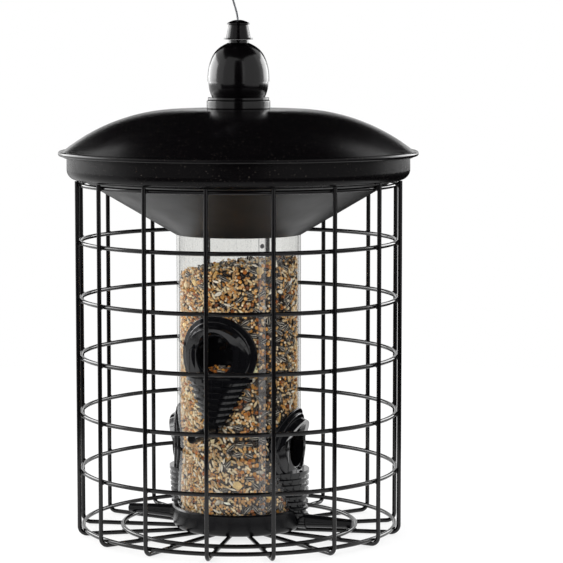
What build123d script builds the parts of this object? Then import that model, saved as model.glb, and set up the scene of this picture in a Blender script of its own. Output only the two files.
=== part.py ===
"""Caged tube feeder: a clear seed tube with four feeding ports inside a round wire cage, under a domed roof.

Millimetres, +Z up. The origin is the centre of the cage floor, on the surface that the feeder stands on.
The upper pair of ports faces -Y and +Y, the lower pair faces +X and -X.
"""

import math
import os

from build123d import *

os.makedirs("parts", exist_ok=True)

# Clearances
overrun = 5.0  # how far a cutting shape runs past what it cuts
weld_gap = 0.05  # left between two wires where they are welded
face_gap = 0.05  # left between two flat faces that bear on each other
seat_gap = 0.3  # left round a piece that is seated by hand
running_gap = 0.08  # radial play of the lock rod, which turns and slides

# Cage
wire_d = 3.0
wire_r = wire_d / 2
cage_r = 114.9  # to the middle of the uprights
upright_count = 16
bend_r = 5.5  # of an upright's middle line, where it turns under the cage
hoop_count = 7
top_hoop_z = 247.9
cage_head = 2.8  # from the top hoop to the top of the uprights
inner_hoop_r = 83.0
hub_r = 26.0
hub_chamfer = 0.3
screw_r = 2.5
screw_head_r = 5.0
screw_head_t = 2.4
screw_length = 13.0

# Seed tube and base cup
tube_r = 44.0
tube_wall = 1.6
tube_in_throat = 2.4  # how far the tube's top stands inside the funnel
lap_t = 0.5  # the second layer of sheet at the lapped seam
lap_width = 4.6
lap_azimuth = -46.5
rivet_r = 1.6
rivet_head_t = 0.7
rivet_taper = 20.0  # degrees
rivet_end_margin = 5.5
rivet_rows = 3
cup_wall = 2.5
cup_floor = 3.0
cup_height = 15.4
cup_corner_r = 4.5
cup_boss_r = 7.0
cup_boss_height = 9.0
cup_rim_chamfer = 1.0

# Feeding ports, measured from the axis of each port's perch
lower_perch_rise = 6.65  # above the underside of the base cup
port_rise = 68.5  # from the lower pair to the upper pair
hole_above_perch = 52.0
hole_r = 13.6
flange_r = 27.9
flange_t = 1.3
flange_round = 0.5
crown_r = 24.6  # the thicker middle of the flange
crown_t = 2.5
crown_round = 1.0
plug_r = 18.0
plug_in = 8.0  # how far the plug stands inside the tube's outer face
hood_foot_r = 24.0
hood_lip_r = 19.6
hood_lip_t = 1.7
hood_lip_round = 0.9
hood_reach = 6.7  # how far the hood's lip stands out from the tube
dish_depth = 4.0  # below the middle of the flange
nose_reach = 7.7  # how far chute and perch boss stand out from the tube
chute_top_r = 28.0
chute_top_above_perch = 36.0
chute_foot_r = 5.6
chute_lip_t = 2.4
rib_count = 7
rib_t = 1.6
rib_depth = 1.3

# Perches
perch_root_r = 4.8
perch_tip_r = 3.1
perch_length = 34.4
perch_spigot_r = 2.9
perch_spigot_length = 6.0
perch_tip_round = 0.8

# Baffles behind the ports
baffle_wall = 1.6
baffle_depth = 18.0
baffle_above_hole = 18.5
baffle_below_hole = 16.0
baffle_roof_depth = 8.0
baffle_knee_above_hole = 1.0

# Seed
seed_gap = 0.4  # between the seed and what holds it
seed_below_throat = 16.1  # at its high side
seed_fall = 12.0  # from its high side to its low side
kernel_length = 11.0
kernel_width = 6.4
kernel_t = 2.0  # how far the kernels stand out of the small seed between them
kernel_rows = 16
kernel_row_count = 16  # kernels in each row
kernel_roll = 77.0  # degrees from one kernel's lie to the next one's

# Funnel and hopper pan
funnel_height = 40.15  # from its throat to its flange
funnel_neck = 2.2
funnel_wall = 0.9
funnel_flange = 4.6
pan_overhang = 6.1  # beyond the middle of the uprights
pan_wall = 1.2
pan_height = 15.5
pan_corner_r = 7.0
pan_lip = 11.5
bridge_width = 14.0
bridge_t = 2.0

# Roof
roof_overhang = 6.0  # beyond the pan
roof_above_pan = 2.8  # from the pan's top to the middle of the rolled edge
roof_bead_r = 1.75
roof_rise = 30.9
roof_flat_r = 40.0
roof_wall = 1.2
skirt_wall = 1.0
skirt_drop = 5.0

# Finial, locking rod and cable cap
collar_r = 22.5
collar_height = 6.0
collar_round = 0.75
washer_r = 21.6
washer_height = 2.1
washer_round = 0.5
finial_waist_r = 18.6
finial_widest_r = 21.8
finial_base_height = 10.95
finial_neck_r = 7.4
bulb_height = 27.0
finial_wall = 2.0
finial_step = 0.7
bulb_swell_share = (0.98, 0.3)  # of the widest radius, and of the height to the neck
bulb_shoulder_share = (0.84, 0.66)
bulb_shoulder_slope = 0.42
bulb_roof_slope = 0.3
neck_height = 2.2
cap_flange_r = 10.2
cap_flange_t = 1.3
cap_foot_r = 8.7
cap_head_r = 6.8
cap_button_r = 8.0
cap_body_height = 9.2
cap_button_t = 0.9
cap_button_crown = 2.4
button_bend_share = (0.62, 0.66)
rod_r = 3.0
rod_below_pin = 2.6
pin_r = 1.3
pin_length = 19.0
clip_r = 6.5
clip_t = 1.2

# Hanging cable: its middle line, in a plane that leans to the photographed side
cable_r = 0.75
cable_plane_azimuth = 202.2
cable_bore_r = 1.35
sleeve_length = 7.5
sleeve_from_run = 1.4
sleeve_wall = 0.8
sleeve_gap = 0.1
strand_pitch = 2.0
corner_share = 0.45  # of the shorter run beside a corner, taken up by its arc

# Worked out from the sizes above
port_r = tube_r + face_gap * 2
tube_bore_r = tube_r - tube_wall
upright_azimuths = [360 / upright_count * (i + 0.5) for i in range(upright_count)]
bend_nest = (bend_r - wire_d - weld_gap) / math.sqrt(2)
bottom_hoop_z = wire_r + bend_r - bend_nest
hoop_pitch = (top_hoop_z - bottom_hoop_z) / (hoop_count - 1)
cup_z = wire_d + face_gap
lower_perch_z = cup_z + lower_perch_rise
cup_bore_r = tube_r + lap_t + seat_gap
tube_foot_z = cup_z + cup_floor + face_gap
seed_r = tube_bore_r - seed_gap
kernel_face_r = math.sqrt(seed_r**2 - (kernel_length / 2) ** 2)
kernel_foot_r = kernel_face_r - kernel_t
throat_r = tube_r + lap_t + seat_gap
pan_low_z = top_hoop_z + cage_head + seat_gap
pan_floor_z = pan_low_z + pan_wall
pan_top_z = pan_low_z + pan_height
pan_r = cage_r + pan_overhang
pan_mouth_r = pan_r - pan_lip
funnel_flange_z = pan_floor_z + face_gap
funnel_throat_z = funnel_flange_z - funnel_height
funnel_knee_r = pan_mouth_r - seat_gap
funnel_knee_z = funnel_flange_z - funnel_neck
funnel_rise = (funnel_knee_z - funnel_throat_z) / (funnel_knee_r - throat_r)
tube_top_z = funnel_throat_z + tube_in_throat
seed_high_z = funnel_throat_z - seed_below_throat
seed_low_z = seed_high_z - seed_fall
bridge_z = funnel_flange_z + funnel_wall + face_gap + bridge_t
pin_z = bridge_z - bridge_t - seat_gap - pin_r
rod_foot_z = pin_z - rod_below_pin
roof_r = pan_r + roof_overhang
roof_rim_z = pan_top_z + roof_above_pan
roof_crown_z = roof_rim_z + roof_rise
collar_z = roof_crown_z + face_gap
washer_z = collar_z + collar_height + face_gap
finial_z = washer_z + washer_height + face_gap
finial_split_z = finial_z + finial_base_height + face_gap
finial_neck_z = finial_split_z + bulb_height
neck_top_z = finial_neck_z + neck_height
cap_z = neck_top_z + face_gap
cap_top_z = cap_z + cap_flange_t + cap_body_height + cap_button_t + cap_button_crown
rod_top_z = finial_neck_z


def direction(azimuth):
    """A level unit vector at this azimuth."""
    return Vector(math.cos(math.radians(azimuth)), math.sin(math.radians(azimuth)), 0)


def radial_plane(azimuth, z=0.0):
    """Local x runs outwards at this azimuth and local y runs up."""
    out = direction(azimuth)
    return Plane(origin=(0, 0, z), x_dir=out, z_dir=(out.Y, -out.X, 0))


def facing_plane(azimuth, z, reach=0.0):
    """Local x runs sideways, local y runs up, and the plane faces outwards at this azimuth."""
    out = direction(azimuth)
    return Plane(origin=out * reach + Vector(0, 0, z), x_dir=(-out.Y, out.X, 0), z_dir=out)


def save(part, name):
    part.label = name
    export_step(part, f"parts/{name}.step")


# Uprights: each is one wire, bent under the cage and run in to the hub as a floor wire
for number, azimuth in enumerate(upright_azimuths, 1):
    with BuildPart() as upright:
        with BuildLine(radial_plane(azimuth)) as route:
            FilletPolyline(
                (cage_r, top_hoop_z + cage_head),
                (cage_r, wire_r),
                (hub_r + weld_gap, wire_r),
                radius=bend_r,
            )
        with BuildSketch(Plane(origin=route.line @ 0, z_dir=route.line % 0)):
            Circle(wire_r)
        sweep()
    save(upright.part, f"upright_{number:02d}")


# Hoops: the lowest nests in the bends, the others are welded inside the uprights
def hoop(radius, z, name):
    with BuildPart() as ring:
        with BuildSketch(Plane.XZ):
            with Locations((radius, z)):
                Circle(wire_r)
        revolve(axis=Axis.Z)
    save(ring.part, name)


for number in range(1, hoop_count):
    hoop(cage_r - wire_d - weld_gap, top_hoop_z - hoop_pitch * (number - 1), f"hoop_{number}")
hoop(cage_r - bend_r + bend_nest, bottom_hoop_z, f"hoop_{hoop_count}")
hoop(inner_hoop_r, wire_d + weld_gap + wire_r, "floor_hoop")

# Hub: the flat washer that the floor wires end on, countersunk from below
with BuildPart() as hub_plate:
    with Locations((0, 0, wire_r)):
        Cylinder(hub_r, wire_d)
    chamfer(hub_plate.edges().filter_by(GeomType.CIRCLE), hub_chamfer)
    with BuildSketch(Plane.XZ):
        with BuildLine():
            Polyline(
                (0, -overrun),
                (screw_head_r + seat_gap, -overrun),
                (screw_head_r + seat_gap, 0),
                (screw_r + seat_gap, screw_head_t + seat_gap),
                (screw_r + seat_gap, wire_d + overrun),
                (0, wire_d + overrun),
                close=True,
            )
        make_face()
    revolve(axis=Axis.Z, mode=Mode.SUBTRACT)
save(hub_plate.part, "hub_plate")

# Base screw
with BuildPart() as base_screw:
    with BuildSketch(Plane.XZ):
        with BuildLine():
            Polyline(
                (0, face_gap * 2),
                (screw_head_r, face_gap * 2),
                (screw_r, screw_head_t),
                (screw_r, screw_length),
                (0, screw_length),
                close=True,
            )
        make_face()
    revolve(axis=Axis.Z)
    with BuildSketch(Plane.XY):
        SlotOverall(screw_head_r, screw_r / 2)
    extrude(amount=screw_head_t / 2, mode=Mode.SUBTRACT)
save(base_screw.part, "base_screw")


# Ports
ports = {
    "front_upper": (-90, lower_perch_z + port_rise),
    "rear_upper": (90, lower_perch_z + port_rise),
    "right_lower": (0, lower_perch_z),
    "left_lower": (180, lower_perch_z),
}
front = -90
nose_r = tube_r + nose_reach
hood_nose_r = tube_r + hood_reach
hood_side_r = math.sqrt((tube_r + crown_t) ** 2 - hood_foot_r**2)


def chute_r(above_perch):
    """The chute is half of a leaning cone: it narrows evenly from its lip to the perch."""
    share = above_perch / chute_top_above_perch
    return chute_foot_r + (chute_top_r - chute_foot_r) * share


def wrapped_disc(azimuth, z, radius, thickness, edge_round):
    """A disc wrapped round the tube, with its outer edge rounded."""
    with BuildPart() as disc:
        with BuildSketch(facing_plane(azimuth, z)):
            Circle(radius)
        extrude(amount=tube_r + thickness + overrun)
        with Locations((0, 0, z)):
            Cylinder(tube_r + thickness, 2 * radius + overrun, mode=Mode.INTERSECT)
            Cylinder(port_r, 2 * radius + overrun * 2, mode=Mode.SUBTRACT)
        fillet(disc.faces().sort_by(Axis((0, 0, 0), direction(azimuth)))[-1].edges(), edge_round)
    return disc.part


def hood(azimuth, z):
    """A blunt cone over the hole, cut back like an eyelid so that it runs out at the hole's sides."""
    with BuildPart() as eyelid:
        with BuildSketch(facing_plane(azimuth, z, hood_side_r)):
            Circle(hood_foot_r)
        with BuildSketch(facing_plane(azimuth, z, hood_nose_r)):
            Circle(hood_lip_r)
        loft()
        fillet(eyelid.faces().sort_by(Axis((0, 0, 0), direction(azimuth)))[-1].edges(), hood_lip_round)
        with BuildSketch(radial_plane(azimuth, z)):
            with BuildLine():
                Polyline(
                    (hood_nose_r, hood_lip_r),
                    (hood_side_r, 0),
                    (hood_side_r, -hood_foot_r - overrun),
                    (hood_nose_r + overrun, -hood_foot_r - overrun),
                    (hood_nose_r + overrun, hood_lip_r),
                    close=True,
                )
            make_face()
        extrude(amount=hood_foot_r + overrun, both=True, mode=Mode.SUBTRACT)
        with Locations((0, 0, z)):
            Cylinder(port_r, 2 * hood_foot_r + overrun, mode=Mode.SUBTRACT)
    return eyelid.part


def chute(azimuth, perch_z):
    """The ribbed chute: a leaning cone with a lip and evenly spaced ribs, open to nothing."""
    with BuildPart() as cone:
        for above, inset in ((0, rib_depth), (chute_top_above_perch, rib_depth)):
            radius = chute_r(above)
            middle = direction(azimuth) * (nose_r - radius)
            with BuildSketch(Plane(origin=middle + Vector(0, 0, perch_z + above))):
                Circle(radius - inset)
        loft()
        rib_pitch = (chute_top_above_perch - chute_lip_t) / (rib_count + 1)
        shelves = [(chute_top_above_perch - chute_lip_t, chute_lip_t)]
        shelves += [(rib_pitch * (i + 1), rib_t) for i in range(rib_count)]
        for above, thickness in shelves:
            radius = chute_r(above + thickness)
            middle = direction(azimuth) * (nose_r - radius)
            with BuildSketch(Plane(origin=middle + Vector(0, 0, perch_z + above))):
                Circle(radius)
            extrude(amount=thickness)
        with Locations((0, 0, perch_z)):
            Cylinder(
                port_r,
                chute_top_above_perch + overrun,
                align=(Align.CENTER, Align.CENTER, Align.MIN),
                mode=Mode.SUBTRACT,
            )
    return cone.part


# One port, perch and baffle are made facing front, with the perch at height zero, then placed four times
hole_z = hole_above_perch
flange = wrapped_disc(front, hole_z, flange_r, flange_t, flange_round)
crown = wrapped_disc(front, hole_z, crown_r, crown_t, crown_round)
eyelid = hood(front, hole_z)
ribbed_chute = chute(front, 0)
with BuildPart() as port:
    add(flange)
    add(crown)
    add(eyelid)
    with BuildSketch(facing_plane(front, hole_z, tube_r + crown_t - dish_depth)):
        Circle(hole_r)
    with BuildSketch(facing_plane(front, hole_z, hood_nose_r)):
        Circle(hood_lip_r - hood_lip_t)
    loft(mode=Mode.SUBTRACT)
    add(ribbed_chute)
    with BuildSketch(facing_plane(front, 0)):
        Circle(chute_foot_r)
    extrude(amount=nose_r)
    Cylinder(port_r, 4 * chute_foot_r, mode=Mode.SUBTRACT)
    with BuildSketch(facing_plane(front, hole_z, tube_r - plug_in)):
        Circle(plug_r)
    extrude(amount=plug_in)
    with BuildSketch(facing_plane(front, hole_z, tube_r - plug_in - overrun)):
        Circle(hole_r)
    extrude(amount=plug_in + nose_reach + 2 * overrun, mode=Mode.SUBTRACT)
    with BuildSketch(facing_plane(front, 0, nose_r - perch_spigot_length - seat_gap)):
        Circle(perch_spigot_r + running_gap)
    extrude(amount=perch_spigot_length + overrun, mode=Mode.SUBTRACT)

# Perch: a tapered peg on a spigot
perch_root = nose_r + face_gap
perch_end = perch_root + perch_length
with BuildPart() as perch:
    with BuildSketch(radial_plane(front)):
        with BuildLine():
            Polyline(
                (perch_root - perch_spigot_length, 0),
                (perch_root - perch_spigot_length, perch_spigot_r),
                (perch_root, perch_spigot_r),
                (perch_root, perch_root_r),
                (perch_end, perch_tip_r),
                (perch_end, 0),
                close=True,
            )
        make_face()
    revolve(axis=Axis((0, 0, 0), direction(front)))
    fillet(perch.edges().sort_by(Axis((0, 0, 0), direction(front)))[-1], perch_tip_round)

# Baffle: a pocket behind the hole, open towards the port and at the bottom
baffle_face = tube_r - plug_in - face_gap
with BuildPart() as baffle:
    for inset in (0, baffle_wall):
        with BuildSketch(radial_plane(front, hole_z)):
            with BuildLine():
                Polyline(
                    (baffle_face + inset, baffle_above_hole - inset),
                    (baffle_face - baffle_roof_depth + inset / 2, baffle_above_hole - inset),
                    (baffle_face - baffle_depth + inset, baffle_knee_above_hole - inset / 2),
                    (baffle_face - baffle_depth + inset, -baffle_below_hole - inset),
                    (baffle_face + inset, -baffle_below_hole - inset),
                    close=True,
                )
            make_face()
        extrude(amount=plug_r - inset, both=True, mode=Mode.SUBTRACT if inset else Mode.ADD)

for place, (azimuth, perch_z) in ports.items():
    for piece, name in ((port, "port"), (perch, "perch"), (baffle, "baffle")):
        with BuildPart() as placed:
            with Locations(Location((0, 0, perch_z), (0, 0, azimuth - front))):
                add(piece.part)
        save(placed.part, f"{place}_{name}")


# Base cup: the tube stands in it, and the lower chutes pass through two notches in its wall
with BuildPart() as base_cup:
    with BuildSketch(Plane.XZ):
        with BuildLine():
            Polyline(
                (0, cup_z),
                (cup_bore_r + cup_wall, cup_z),
                (cup_bore_r + cup_wall, cup_z + cup_height),
                (cup_bore_r, cup_z + cup_height),
                (cup_bore_r, cup_z + cup_floor),
                (cup_boss_r, cup_z + cup_floor),
                (cup_boss_r, cup_z + cup_floor + cup_boss_height),
                (0, cup_z + cup_floor + cup_boss_height),
                close=True,
            )
        make_face()
    revolve(axis=Axis.Z)
    foot_edge = base_cup.edges().filter_by(GeomType.CIRCLE).group_by(Axis.Z)[0][-1]
    fillet(foot_edge, cup_corner_r)
    top_edges = base_cup.edges().filter_by(GeomType.CIRCLE).group_by(Axis.Z)[-1]
    chamfer(top_edges.sort_by(SortBy.RADIUS)[-1], cup_rim_chamfer)
    with BuildSketch(Plane.XY.offset(cup_z)):
        Circle(screw_r + running_gap)
    extrude(amount=screw_length, mode=Mode.SUBTRACT)
    for azimuth, perch_z in ports.values():
        if perch_z == lower_perch_z:
            notch_low = -chute_foot_r - seat_gap
            notch_high = cup_z + cup_height - perch_z + overrun
            notch_half = chute_r(notch_high + rib_t) + seat_gap
            notch_in = math.sqrt(cup_bore_r**2 - notch_half**2) - seat_gap
            with BuildSketch(facing_plane(azimuth, perch_z, notch_in)):
                with BuildLine():
                    Polyline(
                        (-chute_foot_r - seat_gap, notch_low),
                        (chute_foot_r + seat_gap, notch_low),
                        (chute_foot_r + seat_gap, -rib_t),
                        (notch_half, notch_high),
                        (-notch_half, notch_high),
                        (-chute_foot_r - seat_gap, -rib_t),
                        close=True,
                    )
                make_face()
            extrude(amount=cup_wall + overrun, mode=Mode.SUBTRACT)
save(base_cup.part, "base_cup")

# Feed tube: rolled clear sheet with a lapped seam and a round cut-out behind each port
with BuildPart() as feed_tube:
    tube_length = tube_top_z - tube_foot_z
    with BuildSketch(Plane.XY.offset(tube_foot_z)):
        Circle(tube_r)
        Circle(tube_bore_r, mode=Mode.SUBTRACT)
    extrude(amount=tube_length)
    with BuildSketch(Plane.XY.offset(tube_foot_z)):
        Circle(tube_r + lap_t)
        Circle(tube_bore_r + tube_wall / 2, mode=Mode.SUBTRACT)
        with BuildLine():
            half_lap = math.degrees(lap_width / tube_r) / 2
            reach = 2 * tube_r
            low_edge = direction(lap_azimuth - half_lap) * reach
            high_edge = direction(lap_azimuth + half_lap) * reach
            Polyline((0, 0), (low_edge.X, low_edge.Y), (high_edge.X, high_edge.Y), close=True)
        make_face(mode=Mode.INTERSECT)
    extrude(amount=tube_length)
    for azimuth, perch_z in ports.values():
        with BuildSketch(facing_plane(azimuth, perch_z + hole_above_perch, tube_bore_r / 2)):
            Circle(plug_r + seat_gap)
        extrude(amount=tube_r, mode=Mode.SUBTRACT)
save(feed_tube.part, "feed_tube")

# Rivets of the lapped seam: their heads bear on the lap
rivet_low_z = cup_z + cup_height + rivet_end_margin
rivet_high_z = funnel_throat_z - rivet_end_margin
with BuildPart() as seam_rivets:
    for row in range(rivet_rows):
        rivet_z = rivet_low_z + (rivet_high_z - rivet_low_z) * row / (rivet_rows - 1)
        with BuildSketch(facing_plane(lap_azimuth, rivet_z, tube_r + lap_t + face_gap)):
            Circle(rivet_r)
        extrude(amount=rivet_head_t, taper=rivet_taper)
save(seam_rivets.part, "seam_rivets")

# Kernel: one of the large seeds that lie flat against the tube's wall, set into the small seed
with BuildPart() as kernel:
    with BuildSketch(Plane.YZ.offset(kernel_foot_r - kernel_t)):
        with BuildLine():
            for side in (1, -1):
                ThreePointArc((-kernel_length / 2, 0), (0, side * kernel_width / 2), (kernel_length / 2, 0))
        make_face()
    extrude(amount=2 * kernel_t)


def beside_pocket(turn, z):
    """True where a kernel would reach the room that is left for a port's plug and baffle."""
    reach = plug_r + seed_gap + kernel_length / 2
    for azimuth, perch_z in ports.values():
        across = seed_r * direction(turn).cross(direction(azimuth)).length
        above_hole = z - perch_z - hole_above_perch
        if direction(turn).dot(direction(azimuth)) > 0 and across < reach and abs(above_hole) < reach:
            return True
    return False


# Seed: fills the tube up to a slope, with room round the baffles, the plugs and the cup's boss
kernel_places = []
kernel_pitch = (seed_low_z - tube_foot_z) / kernel_rows
for row in range(kernel_rows):
    for i in range(kernel_row_count):
        turn = 360 / kernel_row_count * (i + row / 2)
        roll = kernel_roll * len(kernel_places)
        kernel_z = tube_foot_z + kernel_pitch * (row + 0.5)
        if not beside_pocket(turn, kernel_z):
            kernel_places.append(Location((0, 0, kernel_z), (0, 0, turn)) * Location((0, 0, 0), (roll, 0, 0)))
with BuildPart() as seed_fill:
    with BuildSketch(Plane.XY.offset(tube_foot_z)):
        Circle(kernel_foot_r)
    extrude(amount=seed_high_z - tube_foot_z)
    with Locations(*kernel_places):
        add(kernel.part)
    with BuildSketch(radial_plane(0)):
        with BuildLine():
            Polyline(
                (-tube_r, seed_low_z),
                (tube_r, seed_high_z),
                (tube_r, seed_high_z + overrun),
                (-tube_r, seed_high_z + overrun),
                close=True,
            )
        make_face()
    extrude(amount=tube_r, both=True, mode=Mode.SUBTRACT)
    with BuildSketch(Plane.XY):
        Circle(cup_boss_r + seed_gap)
    extrude(amount=cup_z + cup_floor + cup_boss_height + seed_gap, mode=Mode.SUBTRACT)
    for azimuth, perch_z in ports.values():
        pocket_height = baffle_above_hole + baffle_below_hole + 2 * seed_gap
        pocket_z = perch_z + hole_above_perch - baffle_below_hole - seed_gap
        pocket_in = tube_r - plug_in - baffle_depth - seed_gap
        with BuildSketch(facing_plane(azimuth, pocket_z, pocket_in)):
            Rectangle(2 * (plug_r + seed_gap), pocket_height, align=(Align.CENTER, Align.MIN))
        extrude(amount=tube_r, mode=Mode.SUBTRACT)
        with BuildSketch(facing_plane(azimuth, perch_z + hole_above_perch, tube_r - plug_in - seed_gap)):
            Circle(plug_r + seed_gap)
        extrude(amount=tube_r, mode=Mode.SUBTRACT)
save(seed_fill.part, "seed_fill")

# Funnel: a spun cone hung by its flange in the hopper pan
wall_rise = funnel_wall * math.sqrt(1 + funnel_rise**2)
with BuildPart() as funnel:
    with BuildSketch(Plane.XZ):
        with BuildLine():
            inner_knee_r = funnel_knee_r - funnel_wall
            inner_knee_z = funnel_throat_z + wall_rise + (inner_knee_r - throat_r) * funnel_rise
            Polyline(
                (throat_r, funnel_throat_z),
                (funnel_knee_r, funnel_knee_z),
                (funnel_knee_r, funnel_flange_z),
                (funnel_knee_r + funnel_flange, funnel_flange_z),
                (funnel_knee_r + funnel_flange, funnel_flange_z + funnel_wall),
                (inner_knee_r, funnel_flange_z + funnel_wall),
                (inner_knee_r, inner_knee_z),
                (throat_r, funnel_throat_z + wall_rise),
                close=True,
            )
        make_face()
    revolve(axis=Axis.Z)
save(funnel.part, "funnel")

# Hopper pan: the band under the roof, with a rounded corner and an inward lip
with BuildPart() as hopper_pan:
    with BuildSketch(Plane.XZ):
        with BuildLine():
            FilletPolyline(
                (pan_mouth_r, pan_low_z),
                (pan_r, pan_low_z),
                (pan_r, pan_top_z),
                radius=pan_corner_r,
            )
            Line((pan_r, pan_top_z), (pan_r - pan_wall, pan_top_z))
            FilletPolyline(
                (pan_r - pan_wall, pan_top_z),
                (pan_r - pan_wall, pan_floor_z),
                (pan_mouth_r, pan_floor_z),
                radius=pan_corner_r - pan_wall,
            )
            Line((pan_mouth_r, pan_floor_z), (pan_mouth_r, pan_low_z))
        make_face()
    revolve(axis=Axis.Z)
save(hopper_pan.part, "hopper_pan")

# Bridge bar: lies across the funnel's flange, with a keyed slot for the lock rod's pin
bridge_half = funnel_knee_r + funnel_flange - seat_gap
with BuildPart() as bridge_bar:
    with BuildSketch(Plane.XY.offset(bridge_z - bridge_t)):
        Circle(bridge_half)
        Rectangle(2 * bridge_half, bridge_width, mode=Mode.INTERSECT)
        Circle(rod_r + seat_gap, mode=Mode.SUBTRACT)
        SlotCenterToCenter(pin_length, 2 * (pin_r + seat_gap), mode=Mode.SUBTRACT)
    extrude(amount=bridge_t)
save(bridge_bar.part, "bridge_bar")

# Roof: a dome with a flat crown, a rounded shoulder and a rolled edge
shoulder_run = roof_r - roof_bead_r - roof_flat_r
shoulder_fall = roof_crown_z - roof_rim_z
shoulder_r = (shoulder_run**2 + shoulder_fall**2) / (2 * shoulder_fall)
inner_run_end = math.sqrt((shoulder_r - roof_wall) ** 2 - (shoulder_r - shoulder_fall) ** 2)
with BuildPart() as roof_dome:
    with BuildSketch(Plane.XZ):
        with BuildLine():
            hole = rod_r + running_gap
            outer = CenterArc(
                (roof_flat_r, roof_crown_z - shoulder_r),
                shoulder_r,
                90,
                -math.degrees(math.asin(shoulder_run / shoulder_r)),
            )
            inner = CenterArc(
                (roof_flat_r, roof_crown_z - shoulder_r),
                shoulder_r - roof_wall,
                90,
                -math.degrees(math.asin(inner_run_end / (shoulder_r - roof_wall))),
            )
            Line(outer @ 1, inner @ 1)
            Line(inner @ 0, (hole, roof_crown_z - roof_wall))
            Line((hole, roof_crown_z - roof_wall), (hole, roof_crown_z))
            Line((hole, roof_crown_z), outer @ 0)
        make_face()
        with Locations((roof_r - roof_bead_r, roof_rim_z)):
            Circle(roof_bead_r)
    revolve(axis=Axis.Z)
save(roof_dome.part, "roof_dome")

# Roof skirt: the hoop inside the rolled edge that rests on the pan and keeps the roof centred
skirt_z = pan_top_z + face_gap
skirt_outer_r = pan_r - pan_wall - seat_gap
skirt_brim_r = roof_r - 2 * roof_bead_r - seat_gap
with BuildPart() as roof_skirt:
    with BuildSketch(Plane.XZ):
        with BuildLine():
            Polyline(
                (skirt_outer_r - skirt_wall, skirt_z - skirt_drop),
                (skirt_outer_r, skirt_z - skirt_drop),
                (skirt_outer_r, skirt_z),
                (skirt_brim_r, skirt_z),
                (skirt_brim_r, roof_rim_z),
                (skirt_brim_r - skirt_wall, roof_rim_z),
                (skirt_brim_r - skirt_wall, skirt_z + skirt_wall),
                (skirt_outer_r - skirt_wall, skirt_z + skirt_wall),
                close=True,
            )
        make_face()
    revolve(axis=Axis.Z)
save(roof_skirt.part, "roof_skirt")


# Finial
def turned(name, outline, rounded=0.0):
    """A turned piece from the outline of its right half, with its topmost outer edge rounded."""
    with BuildPart() as piece:
        with BuildSketch(Plane.XZ):
            with BuildLine():
                Polyline(*outline, close=True)
            make_face()
        revolve(axis=Axis.Z)
        if rounded:
            fillet(piece.edges().group_by(Axis.Z)[-1].sort_by(SortBy.RADIUS)[-1], rounded)
            fillet(piece.edges().group_by(Axis.Z)[0].sort_by(SortBy.RADIUS)[-1], rounded)
    save(piece.part, name)


rod_hole_r = rod_r + running_gap
turned(
    "collar",
    [
        (rod_hole_r, collar_z),
        (collar_r, collar_z),
        (collar_r, collar_z + collar_height),
        (rod_hole_r, collar_z + collar_height),
    ],
    rounded=collar_round,
)
turned(
    "finial_washer",
    [
        (rod_hole_r, washer_z),
        (washer_r, washer_z),
        (washer_r, washer_z + washer_height),
        (rod_hole_r, washer_z + washer_height),
    ],
    rounded=washer_round,
)

with BuildPart() as finial_base:
    with BuildSketch(Plane.XZ):
        with BuildLine():
            foot = (finial_waist_r, finial_z)
            brim = (finial_widest_r - finial_step, finial_split_z - face_gap)
            RadiusArc(foot, brim, -finial_widest_r)
            Line(brim, (brim[0] - finial_wall, brim[1]))
            Line((brim[0] - finial_wall, brim[1]), (finial_waist_r - finial_wall, finial_z + finial_wall))
            Line((finial_waist_r - finial_wall, finial_z + finial_wall), (rod_hole_r, finial_z + finial_wall))
            Line((rod_hole_r, finial_z + finial_wall), (rod_hole_r, finial_z))
            Line((rod_hole_r, finial_z), foot)
        make_face()
    revolve(axis=Axis.Z)
save(finial_base.part, "finial_base")

with BuildPart() as finial_bulb:
    with BuildSketch(Plane.XZ):
        with BuildLine():
            swell, shoulder = (
                (finial_widest_r * out_share, finial_split_z + bulb_height * up_share)
                for out_share, up_share in (bulb_swell_share, bulb_shoulder_share)
            )
            Spline(
                (finial_widest_r, finial_split_z),
                swell,
                shoulder,
                (finial_neck_r, finial_neck_z),
                tangents=[(0, 1), (-1, bulb_shoulder_slope)],
            )
            Polyline(
                (finial_neck_r, finial_neck_z),
                (finial_neck_r, neck_top_z),
                (rod_hole_r, neck_top_z),
                (rod_hole_r, finial_neck_z - finial_wall * 2),
            )
            Spline(
                (rod_hole_r, finial_neck_z - finial_wall * 2),
                (shoulder[0] - finial_wall, shoulder[1] - finial_wall),
                (finial_widest_r - finial_wall, finial_split_z),
                tangents=[(1, -bulb_roof_slope), (0, -1)],
            )
            Line((finial_widest_r - finial_wall, finial_split_z), (finial_widest_r, finial_split_z))
        make_face()
    revolve(axis=Axis.Z)
save(finial_bulb.part, "finial_bulb")

with BuildPart() as cable_cap:
    body_z = cap_z + cap_flange_t
    button_z = body_z + cap_body_height
    out_share, up_share = button_bend_share
    with BuildSketch(Plane.XZ):
        with BuildLine():
            Polyline(
                (cable_bore_r, cap_top_z),
                (cable_bore_r, cap_z),
                (cap_flange_r, cap_z),
                (cap_flange_r, body_z),
                (cap_foot_r, body_z),
                (cap_head_r, button_z),
                (cap_button_r, button_z),
                (cap_button_r, button_z + cap_button_t),
            )
            ThreePointArc(
                (cap_button_r, button_z + cap_button_t),
                (cap_button_r * out_share, button_z + cap_button_t + cap_button_crown * up_share),
                (cable_bore_r, cap_top_z),
            )
        make_face()
    revolve(axis=Axis.Z)
save(cable_cap.part, "cable_cap")

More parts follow.
